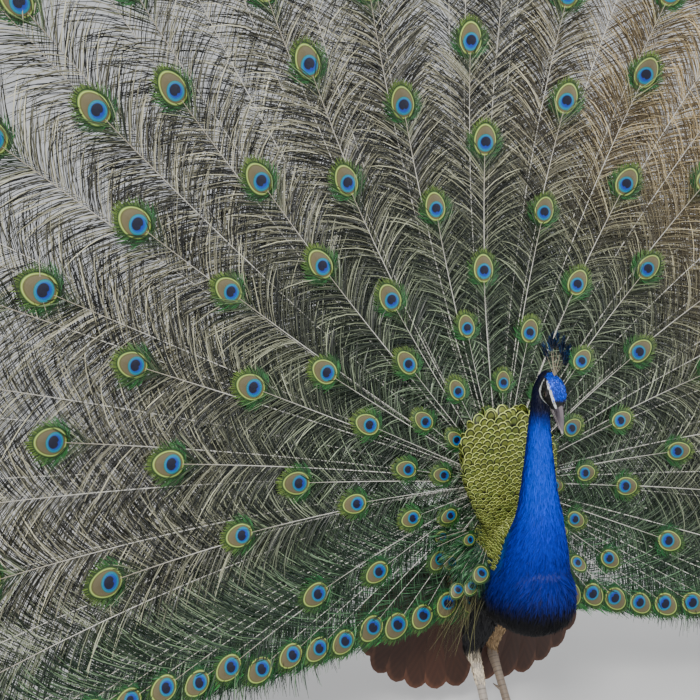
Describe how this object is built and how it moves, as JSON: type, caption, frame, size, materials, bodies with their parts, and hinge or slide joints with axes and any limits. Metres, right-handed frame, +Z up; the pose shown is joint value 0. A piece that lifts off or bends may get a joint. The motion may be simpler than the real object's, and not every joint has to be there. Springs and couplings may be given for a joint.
{
  "type": "peacock in full display",
  "caption": "Life-size standing peacock: upright spread train fan, tail fan behind it, slim neck, crested head with bill, folded wings and bare legs on spread toes.",
  "frame": {"origin": "middle of the bounding box, at the floor the feet stand on", "axes": "-Y is the way the bird faces, +X is its left side, +Z is up"},
  "size_m": [2.3694, 0.5162, 1.6607],
  "materials": {
    "flesh": "feathered skin",
    "neck": "glossy blue plumage",
    "scales": "golden-green scaled plumage",
    "legs": "scaled skin",
    "horn": "satin horn",
    "claw": "satin horn",
    "eye": "wet gloss",
    "crest": "soft plumage",
    "wing": "barred plumage",
    "primaries": "rufous plumage",
    "tail": "grey-brown plumage",
    "undertail": "downy plumage",
    "train": "iridescent plumage"
  },
  "bodies": {
    "root": {"trunk": "flesh", "neck": "neck", "back_scales": "scales", "head": "flesh", "bill_upper": "horn", "bill_lower": "horn", "eye_right": "eye", "eye_left": "eye", "crest": "crest", "wing_right": "wing", "wing_left": "wing", "primaries_right": "primaries", "primaries_left": "primaries", "thigh_right": "flesh", "shank_right": "legs", "foot_right": "legs", "spur_right": "horn", "claw_middle_right": "claw", "claw_inner_right": "claw", "claw_outer_right": "claw", "claw_hind_right": "claw", "thigh_left": "flesh", "shank_left": "legs", "foot_left": "legs", "spur_left": "horn", "claw_middle_left": "claw", "claw_inner_left": "claw", "claw_outer_left": "claw", "claw_hind_left": "claw", "tail": "tail", "undertail": "undertail", "train_right_low": "train", "train_right_high": "train", "train_top": "train", "train_left_high": "train", "train_left_low": "train"}
  },
  "joints": []
}
